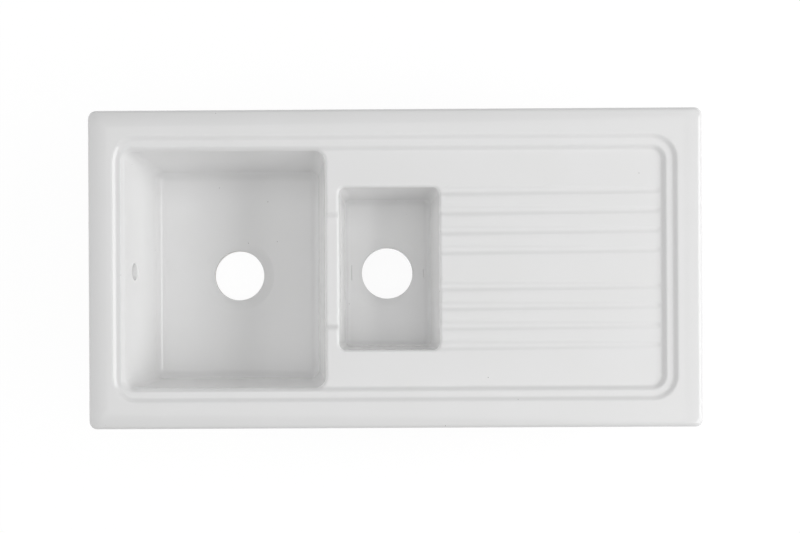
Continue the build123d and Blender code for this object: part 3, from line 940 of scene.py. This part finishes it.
def build_softened(n, kind, width):
    """A clamp piece in its CAD shape, with its corners broken."""
    bm = merged_copy(f"clip_{n}_{kind}")
    break_edges(bm, width)
    return bm


def build_clamps():
    """The plug, screw, washer and claw of each clamp, each standing for its CAD node."""
    white_nylon = nylon()
    bright_zinc = zinc("bright_zinc", 0.7, 0.2)
    dull_zinc = zinc("dull_zinc", 0.6, 0.32)
    for n in CLIPS:
        for kind, bm, body, slot, finish in (
                ("plug", build_softened(n, "plug", 0.25 * MM), "sink", "nylon_plug", white_nylon),
                ("screw", build_screw(n), f"clip_{n}_screw", "zinc_screw", bright_zinc),
                ("washer", build_softened(n, "washer", 0.2 * MM), f"clip_{n}_carrier",
                 "zinc_screw", bright_zinc),
                ("claw", build_softened(n, "claw", 0.5 * MM), f"clip_{n}_claw", "zinc_claw",
                 dull_zinc)):
            piece = finish_piece(bm, f"{kind}_{n}", body, finish, f"clip_{n}_{kind}")
            piece.data.set_sharp_from_angle(angle=radians(25))


# ------------------------------------------------------------------ studio
FLOOR_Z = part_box("sink_body")[0].z - 1 * MM
FLOOR_HALF = 6
AMBIENT = 0.27               # strength of the white surroundings that light the sink
FLOOR_GREY = (0.5, 0.5, 0.5, 1)             # what the floor throws back on the sink
SHADOW_GREY = (0.09, 0.09, 0.09, 1)         # what the sink's shadow takes from the seen floor
FLOOR_GLOW = 0.94
IMAGE_W, IMAGE_H = 800, 533
FOOT_PX = (353, 332)         # the photograph's pixel straight below the camera
FOCAL_PX = 963.5
CAMERA_X = -69.7 * MM
CAMERA_Y = -104.1 * MM
CAMERA_UP = 1.575            # above the rim
ROLL = radians(-0.3)


def build_world_and_floor():
    """White surroundings and a pale floor that keeps the shadow and is clear from below."""
    world = bpy.data.worlds.new("studio")
    bpy.context.scene.world = world
    world.use_nodes = True
    tree = world.node_tree
    tree.nodes.clear()
    path = tree.nodes.new("ShaderNodeLightPath")
    pick = tree.nodes.new("ShaderNodeMixShader")
    out = tree.nodes.new("ShaderNodeOutputWorld")
    tree.links.new(path.outputs["Is Camera Ray"], pick.inputs["Fac"])
    for socket, strength in ((pick.inputs[1], AMBIENT), (pick.inputs[2], 1)):
        white = tree.nodes.new("ShaderNodeBackground")
        white.inputs["Color"].default_value = (1, 1, 1, 1)
        white.inputs["Strength"].default_value = strength
        tree.links.new(white.outputs["Background"], socket)
    tree.links.new(pick.outputs["Shader"], out.inputs["Surface"])

    bm = bmesh.new()
    bmesh.ops.create_grid(bm, x_segments=1, y_segments=1, size=FLOOR_HALF)
    bmesh.ops.translate(bm, verts=bm.verts, vec=(0, 0, FLOOR_Z))
    mesh = bpy.data.meshes.new("floor")
    bm.to_mesh(mesh)
    bm.free()
    floor = bpy.data.objects.new("floor", mesh)
    bpy.context.scene.collection.objects.link(floor)
    material = bpy.data.materials.new("pale_floor")
    material.use_nodes = True
    tree = material.node_tree
    tree.nodes.clear()
    path = tree.nodes.new("ShaderNodeLightPath")
    matt = tree.nodes.new("ShaderNodeBsdfDiffuse")
    matt.inputs["Color"].default_value = FLOOR_GREY
    faint = tree.nodes.new("ShaderNodeBsdfDiffuse")
    faint.inputs["Color"].default_value = SHADOW_GREY
    glow = tree.nodes.new("ShaderNodeEmission")
    glow.inputs["Strength"].default_value = FLOOR_GLOW
    both = tree.nodes.new("ShaderNodeAddShader")
    seen = maths(tree, "MAXIMUM", path.outputs["Is Camera Ray"], path.outputs["Is Glossy Ray"])
    pick = tree.nodes.new("ShaderNodeMixShader")
    side = tree.nodes.new("ShaderNodeNewGeometry")
    clear = tree.nodes.new("ShaderNodeBsdfTransparent")
    from_below = tree.nodes.new("ShaderNodeMixShader")
    out = tree.nodes.new("ShaderNodeOutputMaterial")
    tree.links.new(faint.outputs["BSDF"], both.inputs[0])
    tree.links.new(glow.outputs["Emission"], both.inputs[1])
    tree.links.new(seen, pick.inputs["Fac"])
    tree.links.new(matt.outputs["BSDF"], pick.inputs[1])
    tree.links.new(both.outputs["Shader"], pick.inputs[2])
    tree.links.new(side.outputs["Backfacing"], from_below.inputs["Fac"])
    tree.links.new(pick.outputs["Shader"], from_below.inputs[1])
    tree.links.new(clear.outputs["BSDF"], from_below.inputs[2])
    tree.links.new(from_below.outputs["Shader"], out.inputs["Surface"])
    mesh.materials.append(material)


def soft_light(name, side, elevation, distance, size, power):
    """A soft lamp that looks at the sink; side 0 is the right and 90 the back."""
    data = bpy.data.lights.new(name, "AREA")
    data.shape = "RECTANGLE"
    data.size, data.size_y = size
    data.energy = power
    away = Vector((cos(side) * cos(elevation), sin(side) * cos(elevation), sin(elevation)))
    lamp = bpy.data.objects.new(name, data)
    lamp.location = away * distance
    lamp.rotation_euler = (-away).to_track_quat("-Z", "Y").to_euler()
    bpy.context.scene.collection.objects.link(lamp)
    return lamp


def set_camera():
    """Straight down from well above the main bowl's edge; the shifts bring the sink into view."""
    data = bpy.data.cameras.new("camera")
    data.sensor_width = 36
    data.lens = FOCAL_PX * data.sensor_width / IMAGE_W
    data.shift_x = (IMAGE_W / 2 - FOOT_PX[0]) / IMAGE_W
    data.shift_y = (FOOT_PX[1] - IMAGE_H / 2) / IMAGE_W
    camera = bpy.data.objects.new("camera", data)
    camera.location = (CAMERA_X, CAMERA_Y, RIM.z + CAMERA_UP)
    camera.rotation_euler = (0, 0, ROLL)
    bpy.context.scene.collection.objects.link(camera)
    bpy.context.scene.camera = camera


build_body()
finish_piece(build_seal(), "foam_seal", "sink", foam(), "rim_seal")
build_clamps()

bpy.context.scene.view_settings.view_transform = "Standard"
build_world_and_floor()
soft_light("key", side=radians(-8), elevation=radians(32), distance=3.6, size=(3.6, 2.4), power=80)
fill = soft_light("fill", side=radians(180), elevation=radians(26), distance=3.6, size=(2.4, 1.6),
                  power=30)
fill.visible_glossy = False  # it lights the bowls' right walls without a shine on the rim
soft_light("top", side=0, elevation=radians(88), distance=2.6, size=(2.6, 2.6), power=12)
set_camera()
